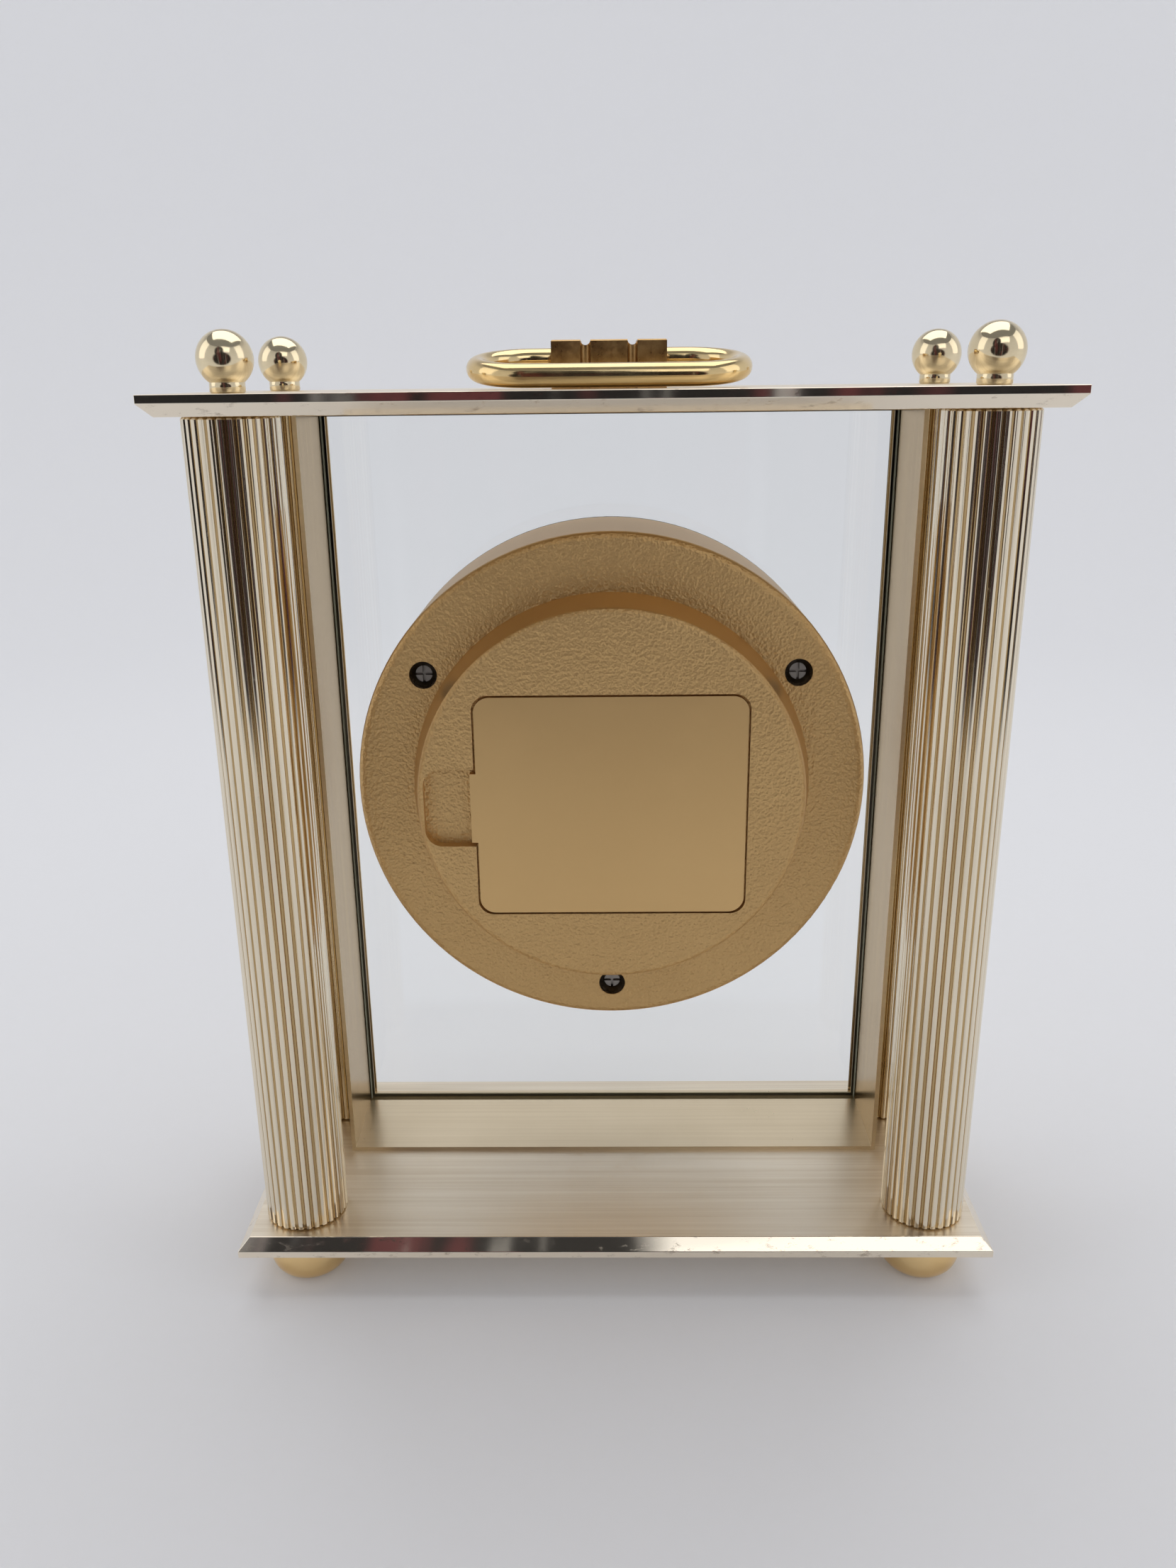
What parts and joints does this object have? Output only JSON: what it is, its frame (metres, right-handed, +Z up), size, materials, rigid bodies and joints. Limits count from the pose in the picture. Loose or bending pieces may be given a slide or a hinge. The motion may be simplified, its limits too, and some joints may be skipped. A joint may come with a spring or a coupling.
{
  "type": "mantel clock",
  "caption": "Free-standing mantel clock: round quartz case on a framed glass pane between chamfered plates, with fluted columns, ball finials, bun feet and folding handle.",
  "frame": {"origin": "on the surface the feet rest on, under the middle of the clock", "axes": "+Z up, X along the width, the dial faces -Y and the battery door faces +Y"},
  "size_m": [0.18, 0.074, 0.2212],
  "materials": {
    "plate_gold": "satin gold anodised, brushed along the length",
    "column_gold": "pale gold anodised, bright",
    "polished_brass": "polished",
    "frame_brass": "brushed sheet",
    "steel": "nickel plated",
    "case_screw_black": "blackened steel",
    "glass": "clear float glass",
    "seal_black": "matte",
    "case_gold_paint": "matte gold with fine grain",
    "bezel_brass": "polished",
    "dial_white": "matte ivory",
    "marker_black": "satin",
    "hand_black": "satin",
    "carrier_black": "moulded",
    "movement_plastic": "moulded",
    "wheel_plastic": "moulded acetal",
    "wheel_brass": "stamped",
    "copper_coil": "enamelled copper winding",
    "board_green": "laminate",
    "cell_jacket": "printed steel jacket, no text"
  },
  "bodies": {
    "stand": {"base_plate": "plate_gold", "top_plate": "plate_gold", "tie_rods": "steel", "handle_block": "polished_brass", "handle_screws": "steel", "glazing_frame": "frame_brass", "glass_panel": "glass", "glass_seal": "seal_black", "movement_case": "case_gold_paint", "case_gasket": "seal_black", "case_screws": "case_screw_black", "dial_carrier": "carrier_black", "front_gasket": "seal_black", "bezel": "bezel_brass", "bezel_screws": "steel", "crystal": "glass", "spacer_ring": "bezel_brass", "dial_plate": "dial_white", "hour_markers": "marker_black", "dial_nut": "bezel_brass", "movement_front_plate": "movement_plastic", "movement_back_plate": "movement_plastic", "movement_screws": "steel", "stator": "steel", "coil": "copper_coil", "circuit_board": "board_green", "quartz_can": "steel", "battery_cradle": "carrier_black", "battery_cell": "cell_jacket", "battery_contact_positive": "steel", "battery_contact_negative": "steel", "column_front_left": "column_gold", "finial_front_left": "polished_brass", "foot_front_left": "polished_brass", "column_front_right": "column_gold", "finial_front_right": "polished_brass", "foot_front_right": "polished_brass", "column_rear_left": "column_gold", "finial_rear_left": "polished_brass", "foot_rear_left": "polished_brass", "column_rear_right": "column_gold", "finial_rear_right": "polished_brass", "foot_rear_right": "polished_brass"},
    "handle": {"handle_loop": "polished_brass"},
    "door": {"battery_door": "case_gold_paint"},
    "seconds": {"second_wheel": "wheel_brass", "second_hand": "hand_black"},
    "minutes": {"minute_wheel": "wheel_brass", "minute_hand": "hand_black"},
    "hours": {"hour_wheel": "wheel_plastic", "hour_hand": "hand_black"},
    "third": {"third_wheel": "wheel_plastic"},
    "motion": {"motion_wheel": "wheel_plastic"},
    "step": {"step_wheel": "wheel_plastic"},
    "rotor": {"rotor": "wheel_plastic"},
    "setting": {"setting_arbor": "steel", "setting_knob": "carrier_black"}
  },
  "joints": [
    {"name": "handle_fold", "type": "hinge", "parent": "stand", "child": "handle", "pos_m": [0, 0, 0.21505], "axis": [1, 0, 0], "range_deg": [0, 196.99]},
    {"name": "battery_door_off", "type": "slide", "parent": "stand", "child": "door", "axis": [0, 1, 0], "range_m": [0, 0.03]},
    {"name": "second_hand_turn", "type": "hinge", "parent": "stand", "child": "seconds", "pos_m": [0, -0.02, 0.1206], "axis": [0, 1, 0], "continuous": true},
    {"name": "minute_hand_turn", "type": "hinge", "parent": "stand", "child": "minutes", "pos_m": [0, -0.02, 0.1206], "axis": [0, 1, 0], "continuous": true},
    {"name": "hour_hand_turn", "type": "hinge", "parent": "stand", "child": "hours", "pos_m": [0, -0.02, 0.1206], "axis": [0, 1, 0], "continuous": true},
    {"name": "third_wheel_turn", "type": "hinge", "parent": "stand", "child": "third", "pos_m": [-0.01052, -0.02, 0.12443], "axis": [0, 1, 0], "continuous": true},
    {"name": "motion_wheel_turn", "type": "hinge", "parent": "stand", "child": "motion", "pos_m": [0, -0.02, 0.1106], "axis": [0, 1, 0], "continuous": true},
    {"name": "step_wheel_turn", "type": "hinge", "parent": "stand", "child": "step", "pos_m": [0.00987, -0.02, 0.1263], "axis": [0, 1, 0], "continuous": true},
    {"name": "rotor_turn", "type": "hinge", "parent": "stand", "child": "rotor", "pos_m": [0.01947, -0.02, 0.1263], "axis": [0, 1, 0], "continuous": true},
    {"name": "setting_knob_turn", "type": "hinge", "parent": "stand", "child": "setting", "pos_m": [-0.00742, -0.02, 0.10318], "axis": [0, 1, 0], "continuous": true}
  ],
  "couplings": [
    {"joint": "third_wheel_turn", "follows": "second_hand_turn", "ratio": -0.13333},
    {"joint": "minute_hand_turn", "follows": "second_hand_turn", "ratio": 0.016667},
    {"joint": "motion_wheel_turn", "follows": "second_hand_turn", "ratio": -0.0055556},
    {"joint": "hour_hand_turn", "follows": "second_hand_turn", "ratio": 0.0013889},
    {"joint": "setting_knob_turn", "follows": "second_hand_turn", "ratio": 0.013889},
    {"joint": "step_wheel_turn", "follows": "second_hand_turn", "ratio": -6},
    {"joint": "rotor_turn", "follows": "second_hand_turn", "ratio": 30}
  ]
}
